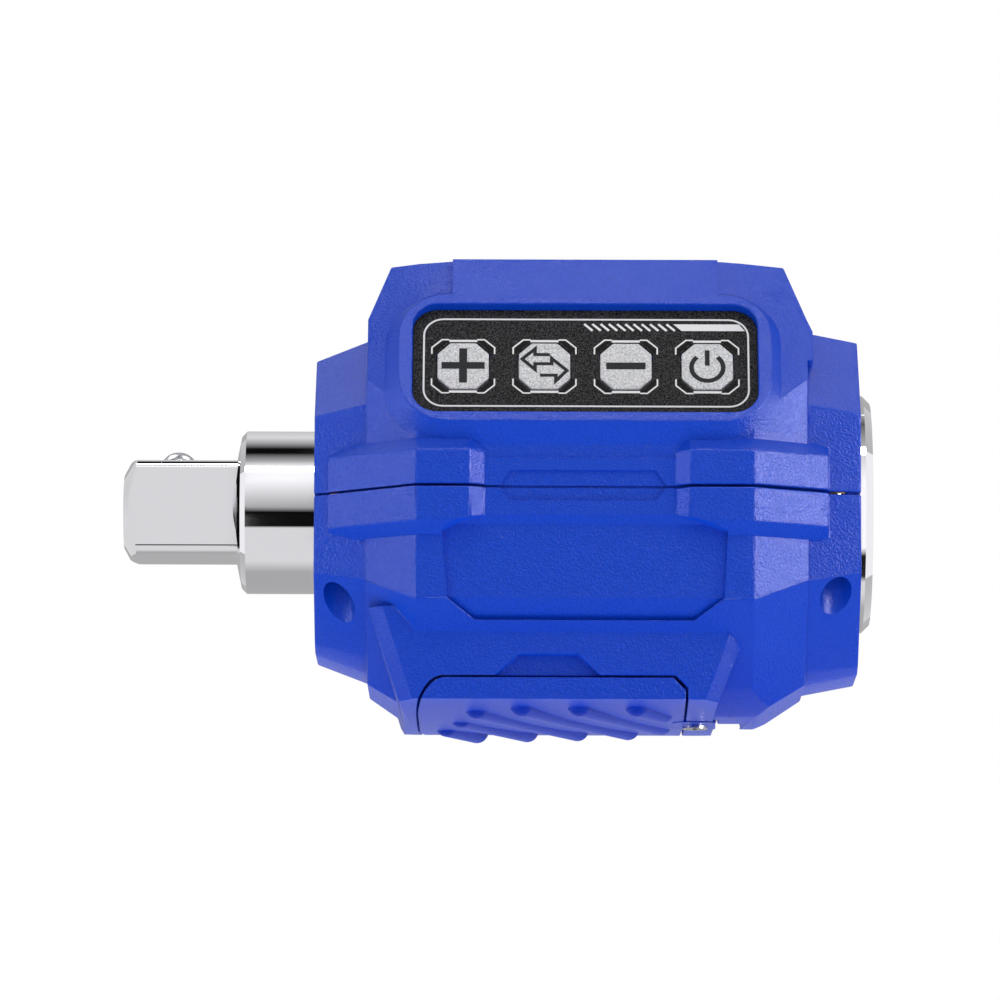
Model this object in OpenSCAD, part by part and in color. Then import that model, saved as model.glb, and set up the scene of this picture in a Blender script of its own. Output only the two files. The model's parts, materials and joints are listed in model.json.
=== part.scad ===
// Digital torque adapter: a half inch drive shaft that carries strain gauges, inside a
// faceted two-part housing with a slanted keypad, a display on top and a battery door below.
// X runs along the drive axis from the tip of the drive square, Z is up, and the keypad
// faces -Y. The origin is the centre of the drive square's end face.

/* [Drive shaft] */
// Across flats of the drive square
square_af = 12.7; // [11:0.1:14]
// Corner radius of the drive square
square_corner_r = 1.2; // [0.6:0.1:1.8]
// Length of the drive square
square_len = 14.2; // [12:0.1:18]
// Radius of the flat end face inside the crowned nose
nose_flat_r = 5; // [4:0.1:5.5]
// Length of the crowned nose at the square's corners
nose_len = 2.1; // [1:0.1:3]
// Length of the flared neck behind the square
neck_len = 1.6; // [1:0.1:3]
// Diameter of the collar
collar_d = 21.9; // [20:0.1:22.5]
// Chamfer at both ends of the collar and on the socket mouth
collar_chamfer = 0.7; // [0.4:0.1:1]
// Length of collar that stands out of the housing
collar_out = 10.1; // [6:0.1:14]
// Diameter of the twisting section that carries the gauges
gauge_d = 16; // [14:0.1:16.4]
// Depth of each flat milled for a gauge
gauge_flat = 0.7; // [0.4:0.1:1]
// Diameter of the socket head inside the housing
head_d = 27; // [25:0.1:28]
// Length of the socket head
head_len = 17.5; // [16:0.1:18.5]
// Diameter of the end flange
flange_d = 31.9; // [30:0.1:32]
// Thickness of the end flange
flange_t = 4; // [3.2:0.1:4.6]
// Chamfer of the end flange
flange_chamfer = 1; // [0.5:0.1:1.5]
// How far the flange stands out of the housing
flange_proud = 1.85; // [1:0.05:2.6]
// Depth of the female square
socket_depth = 15.5; // [12:0.1:16]
// Extra width of the female square over the drive square
socket_clear = 0.2; // [0.1:0.05:0.4]
// Diameter of the detent ball
ball_d = 5.2; // [4:0.1:5.6]
// How far the ball stands out of the square
ball_proud = 1.8; // [1:0.1:2]
// How far the ball can be pressed in
ball_travel = 1.5; // [0.8:0.1:1.6]
// Place of the ball along the square
ball_x = 7.2; // [6:0.1:8.5]

/* [Housing] */
// Length of the housing
body_len = 72.3; // [70:0.1:80]
// Half width of the housing's main faces
main_half = 25; // [24.6:0.1:26]
// Height of the housing's top above the axis
top_h = 31.8; // [31:0.1:33]
// Depth of the housing's bottom below the axis
base_h = 27.6; // [27.3:0.1:29]
// Length of the tapered block around the collar
front_block_len = 7; // [6.5:0.1:9]
// Length of the tapered block around the flange
rear_block_len = 7.05; // [6.5:0.05:9]
// Length of the front corner faces
front_corner_len = 6.7; // [6:0.1:8]
// Length of the rear corner faces
rear_corner_len = 7.25; // [6:0.05:8.5]
// Half width of the belt along the parting line
belt_half = 26.9; // [26.4:0.1:27.6]
// Half height of the belt's face
belt_h = 4.7; // [4:0.1:5.2]
// Height of the slopes above and below the belt
belt_slope = 1.7; // [1:0.1:2]
// Thickness of the housing wall
wall = 2; // [1.6:0.1:2.4]
// Height of the shadow line at the parting plane
seam_h = 0.35; // [0.2:0.05:0.6]
// Depth of the shadow line
seam_depth = 0.9; // [0.5:0.1:1.2]

/* [Keypad] */
// Lean of the keypad face from upright, in degrees
lean = 24; // [22:0.5:26]
// Distance of the keypad's lower edge in front of the axis
console_out = 26.5; // [26.2:0.1:27]
// Height of the keypad's lower edge above the axis
console_z = 8.55; // [8:0.05:9.2]
// Width of the keypad bezel
rim_w = 49.1; // [48:0.1:52]
// Height of the keypad bezel along its slope
rim_h = 19.9; // [19.4:0.1:21]
// Corner radius of the bezel
rim_r = 6.5; // [4:0.1:8]
// How far the skirt below the bezel spreads
skirt = 2.1; // [1.5:0.1:2.4]
// Width of the band between the bezel and the top
band_w = 35.2; // [32:0.1:38]
// Width of the recess that holds the overlay
pocket_w = 45.6; // [44.8:0.1:46.4]
// Height of the recess along the slope
pocket_h = 16.9; // [16.4:0.1:17.6]
// Corner radius of the recess
pocket_r = 3.3; // [2:0.1:4]
// Depth of the overlay's face below the bezel
pocket_depth = 1.5; // [0.8:0.1:1.8]
// Thickness of the overlay
overlay_t = 0.4; // [0.3:0.05:0.6]
// Width of a key
key_w = 6.8; // [6:0.1:7.4]
// Height of a key along the slope
key_h = 7.2; // [6:0.1:7.6]
// Distance between neighbouring keys
key_pitch = 10.75; // [10.4:0.05:11]
// Travel of a key
key_travel = 0.4; // [0.2:0.05:0.5]
// How far a key stands above the overlay
key_proud = 0.2; // [0.1:0.05:0.4]
// Gap around a key
key_gap = 0.15; // [0.1:0.05:0.2]

/* [Display] */
// Length of the display window
window_l = 30; // [26:0.5:32]
// Width of the display window
window_w = 19; // [16:0.5:20]
// Thickness of the display window
window_t = 1.2; // [0.8:0.1:1.4]
// Thickness of the display module
lcd_t = 4; // [3:0.1:5]

/* [Battery box] */
// Diameter of a cell
cell_d = 15; // [14:0.1:15.2]
// Length of a cell
cell_len = 27; // [25:0.1:28]
// Half width of the battery box
box_half = 21.2; // [20.8:0.1:22]
// How far the curved underside sinks below its edges
belly = 1; // [0.8:0.05:1.3]
// Length of the battery door
door_len = 35.6; // [35:0.1:36]
// Height of the door's turned up sides
door_side_h = 3; // [2.4:0.1:3.4]
// Gap around the door
door_gap = 0.3; // [0.25:0.05:0.4]
// Height of the grip ribs on the door
rib_h = 0.6; // [0.55:0.05:0.9]
// Width of a grip rib
rib_w = 3.2; // [2:0.1:4]
// Distance between grip ribs along the door
rib_pitch = 7.6; // [6.5:0.1:9]
// Slant of the grip ribs, in degrees
rib_slant = 28; // [15:1:40]
// Diameter of the door screw's head
door_head_d = 3.4; // [3:0.1:3.8]
// How far the captive door screw backs out
screw_lift = 2.4; // [1.5:0.1:2.6]

/* [Hidden] */
$fn = 96;

over = 0.5;                     // overrun of every cut
slip = 0.1;                     // gap between pieces that slide together
fit = 0.05;                     // gap between pieces that stay together
root2 = sqrt(2);

// Places along the axis
collar_x = square_len + neck_len;
body_x0 = collar_x + collar_out;
body_x1 = body_x0 + body_len;
face_x = body_x1 + flange_proud;
main_x0 = body_x0 + front_block_len;
main_x1 = body_x1 - rear_block_len;
corner_x0 = main_x0 + front_corner_len;
corner_x1 = main_x1 - rear_corner_len;
head_x = face_x - head_len;
flange_x = face_x - flange_t;
mid_x = (main_x0 + main_x1) / 2;

// End blocks: half widths, heights above and below the axis, half heights of the upright
// flats, and radii of the rounded undersides
front_tip = [17, 19.3, 19.9, 10.4, 20.65];
front_root = [20, 22, 22.7, 11.8, 23.5];
rear_root = [20.9, 23.3, 24, 11.9, 24.7];
rear_tip = [19.8, 22, 22.5, 10.6, 23.3];
lip = [0.75, 17.6, 21.9];       // lip on the rear end face: length and heights

// Main block
front_edge_half = 20.3;         // half width where the front corner faces start
rear_edge_half = 21.3;          // half width where the rear corner faces end
top_shoulder = 23.6;            // height of the upright part of the end faces
top_edge = 31.1;                // height where the sloping ends meet the top
top_in = 3;                     // inset of that edge from the end faces
top_flat_in = 11.5;             // inset of the level top from the end faces
block_base = 28.3;              // lowest flat of the main block beside the battery box
block_r = 29.2;                 // radius of the main block's rounded underside
base_shoulder = 24.2;           // depth of the upright part of the end faces
base_in = 6.4;                  // inset of the lowest flat from the end faces
facet_z = 14.9;                 // height of the upright faces below the axis
facet_edge_z = 12;              // the same at the ends of the corner faces
lean_edge_z = 15;               // height where the upper corner faces start to lean
console_n = console_out * cos(lean) + console_z * sin(lean);
lean_step = 1.1;                // how far the bezel stands off the leaning faces
lean_n = console_n - lean_step;

// Belt
belt_x0 = body_x0 + 1.9;
belt_x1 = main_x1 + 2.7;
belt_front_half = 18.2;
belt_rear_half = 21.7;
waist_half = 25.2;              // half width of the belt between its bevels
waist_h = 3.75;
waist_slope = 1.1;
waist_x0 = corner_x0 + 8.9;
waist_x1 = corner_x1 - 10.3;
waist_bevel = 1.9;
inlay_x0 = corner_x0 + 12.3;    // shallow inlay that the parting line crosses
inlay_x1 = corner_x1 - 12.9;
inlay_taper = 1.5;
inlay_h = 2.2;
inlay_depth = 0.45;

// Recessed panel below the belt
panel_x0 = corner_x0 + 3.3;
panel_x1 = corner_x1 - 3.4;
panel_depth = 0.8;
panel_bottom = 17.3;
panel_corner = 3.6;

// Battery box
box_x0 = main_x0 + 0.3;
box_x1 = main_x1 - 8.5;
box_top_x1 = box_x1 + 0.1;
box_top = 15.3;
box_chamfer = 1.9;
box_left_run = 3.8;
box_right_run = 3.9;
box_soft = [0.7, 0.6, 2.4];     // softened lower left corner: inset, height, and length below
box_shoulder = [1.3, 2.6, 6];   // upper right corner: inset and drop of its edge, and its length
belly_r = (box_half * box_half + belly * belly) / (2 * belly);
belly_z = -base_h - belly;      // lowest line of the curved underside
door_in = 2.6;                  // distance of the door from the box's lower left corner
door_x0 = box_x0 + box_left_run + door_in;
door_x1 = door_x0 + door_len;
door_y = box_half;
door_top_z = -base_h + door_side_h;
door_curve = [[0.5, 2.9], [0.75, 2.4], [1.2, 1.6], [1.9, 0.75], [2.6, 0.25], [3.4, 0]];
door_curve_l = door_curve[len(door_curve) - 1][0];
door_right_run = 1.6;
hinge_z = belly_z;
door_floor_t = 1.2;
door_floor_z = -base_h + door_floor_t;
door_wall = 1.6;
bay_h = 16.9;                   // height of the battery bay's ceiling above the bottom
bay_z1 = -base_h + bay_h;
bay_wall = 1.2;
contact_room = 3.9;             // length taken at each end of a cell by its contacts
bay_half_y = cell_len / 2 + contact_room;
contact_spring = [3.4, 0.7, 3]; // radius, wire and turns
cell_gap = 0.5;
cell_room = 0.3;
cell_x = [door_x0 + door_len / 2 - (cell_d + cell_gap) / 2,
    door_x0 + door_len / 2 + (cell_d + cell_gap) / 2];
bay_x0 = cell_x[0] - cell_d / 2 - cell_room;
bay_x1 = cell_x[1] + cell_d / 2 + cell_room;
cell_z = bay_z1 - slip - cell_d / 2;
nub_d = 5;
nub_l = 0.8;
plate_t = 0.4;
plate_w = 10;
tab_y = 9;
tab_w = 5;
tab_t = 1;
tab_reach = 1.2;
tab_lift = 2.7;
tab_z = hinge_z + tab_lift;
tab_swing_r = 4.5;
grip_front = -14.5;             // grip area of the door
grip_back = 18.5;
grip_back_taper = 0.21;
grip_start = -16.5;             // place of the first rib's own line from the door's left edge
grip_count = 7;
grip_left = 5.6;
grip_right = 3;
grip_taper = 0.2;
notch_h = 2.9;                  // finger notch above the door
notch_in = 10.45;
notch_x0 = door_x0 + notch_in;
notch_top_z = door_top_z + notch_h;
notch_w = 13.8;
notch_taper = 2.95;
notch_depth = 1.2;

// Door screw and its ear
ear_half = 4;
ear_l = 4.2;
ear_r = 1.5;
ear_t = 1.7;
ear_x1 = door_x1 + ear_l;
ear_z0 = belly_z - fit;
ear_z1 = ear_z0 + ear_t;
screw_out = 1.5;
screw_x = door_x1 + screw_out;
door_head_h = 0.45;
door_shank_d = 1.8;
door_bore_r = 2.3;
clip_d = 3.4;
clip_t = 0.5;
clip_z = ear_z1 + screw_lift + 3 * slip;
door_insert_l = 2.4;
door_tip_z = clip_z + clip_t + door_insert_l;
door_insert_z = clip_z + clip_t + slip;
door_insert_bore = 2.8;
slot_w = 0.5;
arch_r = 1.75;                  // strap notch at the back of the underside
arch_out = 1.8;
arch_x = ear_x1 + arch_out;
arch_y = 0.8;

// Housing screws
front_screw = [main_x0 - 3.6, 15.3];
rear_screw = [main_x1 + 3.7, 18.1];
screw_d = 2.4;
screw_head_d = 3.9;
screw_head_h = 1.5;
screw_seat_z = -8;
screw_bore_d = 4.2;
insert_d = 3.3;
insert_l = 5;
screw_len = 12.2;

// Inside of the upper housing
end_wall = 3.5;
side_wall = 2.4;
cavity_x0 = main_x0 + end_wall;
cavity_x1 = main_x1 - end_wall;
cavity_half = main_half - side_wall;
cavity_front = [4.2, 1.4];      // front corners of the cavity: in from the sides, and past the edge
cavity_rear = [3.3, 1.3];
cavity_top = top_h - wall;
cavity_floor = bay_z1 + bay_wall;
key_wall = 1.6;                 // wall between the overlay and the key flanges
floor_n = pocket_depth + overlay_t;
inner_n = floor_n + key_wall;
pocket_left = 0.3;              // how far the keypad sits left of the housing's middle
pocket_x = mid_x - pocket_left;
pocket_v = 1.5;
key_v = 9.45;
key_x0 = pocket_x - 1.5 * key_pitch;
key_chamfer = 1.7;
flange_extra = 0.8;
key_flange_t = 0.6;
press_gap = key_travel + fit;
plunger_d = 3;
plunger_h = 0.55;
switch_w = 6;
switch_h = 3.4;
switch_top_n = inner_n + slip + key_flange_t + press_gap;
key_board_n = switch_top_n + plunger_h + switch_h;
board_t = 1.2;
board_r = 1;
key_board_h = 13;
key_board_side = 4.75;
key_board_w = 3 * key_pitch + 2 * key_board_side;
key_post_d = 2;
main_board_z = 13;
main_board_half = 20;
main_board_y = [-8, 18];
post_in = 2.8;                  // distance of a post from the board's ends
post_x = [mid_x - main_board_half + post_in, mid_x + main_board_half - post_in];
post_y = [-5.4, 12];
post_d = 4;
pilot_d = 1.5;
board_screw_d = 1.4;
board_screw_len = 4;
board_screw_head = [2.6, 1];
buzzer_place = [8, 10];         // from the middle of the housing and the axis
buzzer_d = 9;
buzzer_h = 4.5;
buzzer_hole = [1.6, 1.5];       // diameter and depth
ribbon_x = mid_x + 2;
ribbon_w = 8;
ribbon_t = 0.3;
ribbon_in = 3;                  // how far the cable runs in under the display and over the board
ribbon_bulge = [1, 2];          // how far its bends and its middle stand out

// Shaft details
collar_in = 3.4;                // length of collar inside the cavity
collar_end_x = cavity_x0 + collar_in;
ring_x = cavity_x0 + 2 * slip;
ring_t = 1.1;
ring_groove_d = collar_d - 2;
ring_d = collar_d + 3.2;
ring_gap = 7;
seal_r = 0.8;
front_seal_in = 2.6;
front_seal_x = body_x0 + front_seal_in;
rear_seal_in = 5.5;
rear_seal_x = head_x + rear_seal_in;
bush_l = 3.7;
bush_x0 = cavity_x0 - bush_l;
bush_wall = 1.5;
spring_wire = 0.45;
neck_rise = (collar_d - square_af) / 2 - collar_chamfer;
neck_shares = [[0, 0.3], [0.2, 0.6], [0.65, 0.82]];   // flare of the neck: shares of its rise and length
detent_spring_r = 1.85;
detent_turns = 5;
detent_seat = 0.75;             // how far the spring reaches up around the ball
ball_z = square_af / 2 + ball_proud - ball_d / 2;
spring_pressed = 3.85;          // room for the spring below the ball when it is pressed in
spring_floor = ball_z - ball_d / 2 - ball_travel - spring_pressed;
rear_bore_x = flange_x - 3 * slip;
head_step = 1.5;
gauge_l = 6;
gauge_w = 4;
gauge_t = 0.3;
gauge_left = 8;                 // distance of the first gauge from the housing's middle
gauge_pitch = 10;
gauge_x = [mid_x - gauge_left, mid_x - gauge_left + gauge_pitch];
flex_right = 12;
flex_x = mid_x + flex_right;
flex_w = 4;
flex_t = 0.25;

// Prism over an outline drawn in X and Z
module side_prism(points, half)
    rotate([90, 0, 0]) translate([0, 0, -half]) linear_extrude(2 * half) polygon(points);

// Prism over an outline drawn in X and Y
module plan_prism(points, z0, z1)
    translate([0, 0, z0]) linear_extrude(z1 - z0) polygon(points);

// Prism along X over an outline drawn in Y and Z
module section_prism(points, x0, x1)
    translate([x0, 0, 0]) rotate([90, 0, 90]) linear_extrude(x1 - x0) polygon(points);

// Outline that is the same on both sides of the axis: a list of [x, half width]
function both_sides(edge) = concat(
    [for (p = edge) [p[0], -p[1]]],
    [for (i = [len(edge) - 1:-1:0]) [edge[i][0], edge[i][1]]]);

module along_x(x0, x1, r0, r1)
    translate([x0, 0, 0]) rotate([0, 90, 0]) cylinder(h = x1 - x0, r1 = r0, r2 = r1);

module tube_x(x0, x1, outer, inner)
    difference() {
        along_x(x0, x1, outer, outer);
        along_x(x0 - over, x1 + over, inner, inner);
    }

module round_rect(w, h, r) {
    square([w - 2 * r, h], center = true);
    square([w, h - 2 * r], center = true);
    for (sx = [-1, 1], sy = [-1, 1])
        translate([sx * (w / 2 - r), sy * (h / 2 - r)]) circle(r = r, $fn = 32);
}

module octagon(w, h, c)
    polygon([[-w / 2 + c, -h / 2], [w / 2 - c, -h / 2], [w / 2, -h / 2 + c], [w / 2, h / 2 - c],
        [w / 2 - c, h / 2], [-w / 2 + c, h / 2], [-w / 2, h / 2 - c], [-w / 2, -h / 2 + c]]);

module square_bar(x0, x1, af, r)
    translate([x0, 0, 0]) rotate([90, 0, 90]) linear_extrude(x1 - x0) round_rect(af, af, r);

// Puts a piece on the keypad slope: X stays, Y runs up the slope and Z points outwards
module on_console()
    translate([0, -console_out, console_z]) rotate([90 - lean, 0, 0]) children();

module at_key(i) on_console() translate([key_x0 + i * key_pitch, key_v, 0]) children();

// Swept tube around Z: turns of wire from z0 to z1
function ring_points(a, r, z, w, sides) = [for (s = [0:sides - 1])
    let (t = 360 * s / sides) [(r + w / 2 * cos(t)) * cos(a), (r + w / 2 * cos(t)) * sin(a),
        z + w / 2 * sin(t)]];
module coil(r, z0, z1, wire, turns, per_turn = 12, sides = 6) {
    rings = turns * per_turn;
    points = [for (i = [0:rings]) each ring_points(360 * i / per_turn, r,
        z0 + wire / 2 + (z1 - z0 - wire) * i / rings, wire, sides)];
    walls = [for (i = [0:rings - 1], s = [0:sides - 1]) let (t = (s + 1) % sides)
        each [[i * sides + s, i * sides + t, (i + 1) * sides + t],
            [i * sides + s, (i + 1) * sides + t, (i + 1) * sides + s]]];
    start = [for (s = [1:sides - 2]) [0, s + 1, s]];
    finish = [for (s = [1:sides - 2]) [rings * sides, rings * sides + s, rings * sides + s + 1]];
    polyhedron(points, concat(walls, start, finish), convexity = 8);
}

// Octagonal block that changes from one end to the other, with a rounded underside
module taper_block(x0, x1, a, b) {
    reach = 2 * max(a[1], b[1]);
    corner = both_sides([[x0, (a[0] + a[3]) / root2], [x1, (b[0] + b[3]) / root2]]);
    intersection() {
        plan_prism(both_sides([[x0, a[0]], [x1, b[0]]]), -reach, reach);
        side_prism([[x0, -a[2]], [x1, -b[2]], [x1, b[1]], [x0, a[1]]], reach);
        rotate([45, 0, 0]) side_prism(corner, reach);
        rotate([-45, 0, 0]) side_prism(corner, reach);
        union() {
            along_x(x0, x1, a[4], b[4]);
            translate([x0, -reach, 0]) cube([x1 - x0, 2 * reach, reach]);
        }
    }
}

// Plan of the main block with its four corner faces
main_plan = both_sides([[main_x0, front_edge_half], [corner_x0, main_half],
    [corner_x1, main_half], [main_x1, rear_edge_half]]);

// Half planes that lean in above or below the upright faces, as far as they are from the axis
upper_lean = both_sides([[main_x0, front_edge_half * cos(lean) + lean_edge_z * sin(lean)],
    [corner_x0, lean_n], [corner_x1, lean_n],
    [main_x1, rear_edge_half * cos(lean) + lean_edge_z * sin(lean)]]);
lower_lean = both_sides([[main_x0, (front_edge_half + facet_edge_z) / root2],
    [corner_x0, (main_half + facet_z) / root2], [corner_x1, (main_half + facet_z) / root2],
    [main_x1, (rear_edge_half + facet_edge_z) / root2]]);

module upper_block()
    intersection() {
        plan_prism(main_plan, 0, top_h);
        side_prism([[main_x0, 0], [main_x1, 0], [main_x1, top_shoulder], [main_x1 - top_in, top_edge],
            [main_x1 - top_flat_in, top_h], [main_x0 + top_flat_in, top_h], [main_x0 + top_in, top_edge],
            [main_x0, top_shoulder]], main_half);
        rotate([90 - lean, 0, 0]) side_prism(upper_lean, 2 * top_h);
        rotate([lean - 90, 0, 0]) side_prism(upper_lean, 2 * top_h);
    }

module lower_block()
    intersection() {
        plan_prism(main_plan, -block_base, 0);
        side_prism([[main_x0, 0], [main_x1, 0], [main_x1, -base_shoulder],
            [main_x1 - base_in, -block_base], [main_x0 + base_in, -block_base],
            [main_x0, -base_shoulder]], main_half);
        along_x(main_x0, main_x1, block_r, block_r);
        rotate([45, 0, 0]) side_prism(lower_lean, 2 * base_h);
        rotate([-45, 0, 0]) side_prism(lower_lean, 2 * base_h);
    }

// Lip at the top of the rear end face, inside the leaning faces
module end_lip() {
    lean_out = rear_edge_half * cos(lean) + lean_edge_z * sin(lean);
    sides = both_sides([[main_x1 - over, lean_out], [main_x1 + lip[0], lean_out]]);
    intersection() {
        side_prism([[main_x1 - over, lip[1]], [main_x1 + lip[0], lip[1]], [main_x1 + lip[0], lip[2]],
            [main_x1, top_shoulder], [main_x1 - over, top_shoulder]], rear_edge_half);
        rotate([90 - lean, 0, 0]) side_prism(sides, 2 * top_h);
        rotate([lean - 90, 0, 0]) side_prism(sides, 2 * top_h);
    }
}

// One length of the belt: an outline with sloping shoulders
module belt_length(edge, h, slope)
    hull() {
        plan_prism(both_sides(edge), -h, h);
        plan_prism(both_sides([for (p = edge) [p[0], p[1] - slope]]), -h - slope, h + slope);
    }

module belt() {
    belt_length([[belt_x0, belt_front_half], [corner_x0, belt_half],
        [waist_x0 - waist_bevel, belt_half], [waist_x0, waist_half]], belt_h, belt_slope);
    belt_length([[waist_x0 - waist_bevel, waist_half], [waist_x1 + waist_bevel, waist_half]],
        waist_h, waist_slope);
    belt_length([[waist_x1, waist_half], [waist_x1 + waist_bevel, belt_half],
        [corner_x1, belt_half], [belt_x1, belt_rear_half]], belt_h, belt_slope);
}

// Bezel of the keypad with the skirt that joins it to the body, and the band above it
module bezel() {
    base_n = 1.25 * skirt;
    on_console() translate([pocket_x, rim_h / 2, 0]) hull() {
        translate([0, 0, -fit]) linear_extrude(fit) round_rect(rim_w, rim_h, rim_r);
        translate([0, 0, -base_n]) linear_extrude(fit)
            round_rect(rim_w + 2 * skirt, rim_h + 2 * skirt, rim_r + skirt);
    }
}

module band()
    intersection() {
        on_console() translate([pocket_x - band_w / 2, rim_h / 2, -3 * lean_step])
            cube([band_w, top_h, 3 * lean_step]);
        translate([main_x0, -main_half, 0])
            cube([main_x1 - main_x0, 2 * main_half, top_h + slip]);
    }

module both_faces() {
    children();
    mirror([0, 1, 0]) children();
}

// Shadow line around the parting plane, cut into the edge of one half
module seam_cut(side) {
    z0 = side > 0 ? -over : -seam_h / 2;
    z1 = side > 0 ? seam_h / 2 : over;
    difference() {
        translate([body_x0 - over, -2 * main_half, z0])
            cube([body_len + 2 * over, 4 * main_half, z1 - z0]);
        plan_prism(both_sides([[body_x0 + seam_depth, front_tip[0] - seam_depth],
            [belt_x0 + seam_depth, belt_front_half - 2 * seam_depth],
            [corner_x0, main_half - seam_depth], [waist_x0, waist_half - seam_depth],
            [waist_x1, waist_half - seam_depth], [corner_x1, main_half - seam_depth],
            [main_x1, rear_root[0] - seam_depth], [body_x1 - seam_depth, rear_tip[0] - seam_depth]]),
            -2 * over, 2 * over);
    }
}

// Bores that the shaft, its seals and its bush lie in
module shaft_bore() {
    r = collar_d / 2 + slip;
    along_x(body_x0 - over, cavity_x0 + over, r, r);
    along_x(bush_x0, cavity_x0 + over, collar_d / 2 + bush_wall + fit, collar_d / 2 + bush_wall + fit);
    along_x(front_seal_x - seal_r - fit, front_seal_x + seal_r + fit,
        collar_d / 2 + 2 * seal_r + slip, collar_d / 2 + 2 * seal_r + slip);
    along_x(cavity_x0 - slip, collar_end_x + slip, ring_d / 2 + slip, ring_d / 2 + slip);
    along_x(head_x - head_step - slip, body_x1 + over, head_d / 2 + slip, head_d / 2 + slip);
    along_x(rear_seal_x - seal_r - fit, rear_seal_x + seal_r + fit,
        head_d / 2 + 2 * seal_r + slip, head_d / 2 + 2 * seal_r + slip);
    along_x(rear_bore_x, body_x1 + over, flange_d / 2 + slip, flange_d / 2 + slip);
}

screw_places = [[front_screw[0], -front_screw[1]], [front_screw[0], front_screw[1]],
    [rear_screw[0], -rear_screw[1]], [rear_screw[0], rear_screw[1]]];

cavity_plan = both_sides([[cavity_x0, cavity_half - cavity_front[0]],
    [corner_x0 + cavity_front[1], cavity_half], [corner_x1 - cavity_rear[1], cavity_half],
    [cavity_x1, cavity_half - cavity_rear[0]]]);

module upper_cavity()
    intersection() {
        plan_prism(cavity_plan, -over, cavity_top);
        rotate([90 - lean, 0, 0]) side_prism(both_sides([[cavity_x0, console_n - inner_n],
            [cavity_x1, console_n - inner_n]]), 2 * top_h);
        rotate([lean - 90, 0, 0]) side_prism(both_sides([[cavity_x0, console_n - inner_n],
            [cavity_x1, console_n - inner_n]]), 2 * top_h);
    }

module upper_housing() color("royalblue")
    difference() {
        union() {
            difference() {
                intersection() {
                    union() {
                        taper_block(body_x0, main_x0 + over, front_tip, front_root);
                        taper_block(main_x1 - over, body_x1, rear_root, rear_tip);
                        upper_block();
                        end_lip();
                        belt();
                        both_faces() bezel();
                        both_faces() band();
                    }
                    translate([body_x0 - over, -2 * main_half, 0])
                        cube([body_len + 2 * over, 4 * main_half, 2 * top_h]);
                }
                upper_cavity();
                on_console() translate([pocket_x, pocket_v + pocket_h / 2, -floor_n])
                    linear_extrude(floor_n + over) round_rect(pocket_w, pocket_h, pocket_r);
                for (i = [0:3]) at_key(i) translate([0, 0, -inner_n - over])
                    linear_extrude(inner_n + over)
                        octagon(key_w + 2 * key_gap, key_h + 2 * key_gap, key_chamfer);
            }
            for (x = post_x, y = post_y) translate([x, y, main_board_z + board_t])
                cylinder(h = cavity_top - main_board_z - board_t + wall / 2, d = post_d);
            for (i = [0:2]) at_key(i + 0.5) translate([0, 0, -key_board_n])
                cylinder(h = key_board_n - floor_n - over, d = key_post_d);
        }
        shaft_bore();
        both_faces() translate([0, -waist_half, 0]) side_prism([[inlay_x0 - inlay_taper, -over],
            [inlay_x0 - inlay_taper, 0], [inlay_x0, inlay_h], [inlay_x1, inlay_h],
            [inlay_x1 + inlay_taper, 0], [inlay_x1 + inlay_taper, -over]], inlay_depth);
        seam_cut(1);
        translate([mid_x, 0, top_h - window_t - fit]) linear_extrude(window_t + over)
            round_rect(window_l + 2 * fit, window_w + 2 * fit, wall);
        translate([mid_x, 0, cavity_top - over]) linear_extrude(wall + over)
            round_rect(window_l - 2 * wall, window_w - 2 * wall, wall / 2);
        for (p = screw_places) translate([p[0], p[1], -over])
            cylinder(h = insert_l + slip + over, d = insert_d);
        for (x = post_x, y = post_y) translate([x, y, main_board_z])
            cylinder(h = board_screw_len + over, d = pilot_d, $fn = 24);
    }

// Outline of the battery box, seen from the side, with its ends drawn in
function box_outline(in) =
    let (left = box_x0 + box_left_run + in)
    [[box_x0 + in, -box_top], [left, -base_h + box_soft[1]],
    [left + box_soft[0], -base_h - box_soft[1]], [left + box_soft[2], belly_z - over],
    [box_x1 - box_right_run - in, belly_z - over], [box_top_x1 - in, -box_top - box_right_run],
    [box_top_x1 - box_shoulder[0] - in, -box_top - box_shoulder[1]],
    [box_top_x1 - box_shoulder[2], -box_top]];

module belly_form(extra) {
    r = belly_r + extra;
    translate([body_x0, 0, belly_z + belly_r]) rotate([0, 90, 0]) cylinder(h = body_len, r = r, $fn = 720);
}

module battery_box()
    intersection() {
        hull() {
            side_prism(box_outline(box_chamfer), box_half);
            side_prism(box_outline(0), box_half - box_chamfer);
        }
        belly_form(0);
    }

// Outline of the door seen from the side, grown by a gap
function door_outline(g) = [[door_x0 - g, belly_z - over], [door_x0 - g, -base_h - 0.7],
    for (p = door_curve) [door_x0 + p[0] - g, door_top_z - p[1] + g],
    [door_x1 - door_right_run + g, door_top_z + g], [door_x1 + g, door_top_z - door_right_run + g],
    [door_x1 + g, belly_z - over]];

module ear_outline(g)
    translate([(door_x1 - door_wall + ear_x1) / 2, 0])
        round_rect(ear_l + door_wall + 2 * g, 2 * ear_half + 2 * g, ear_r);

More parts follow.
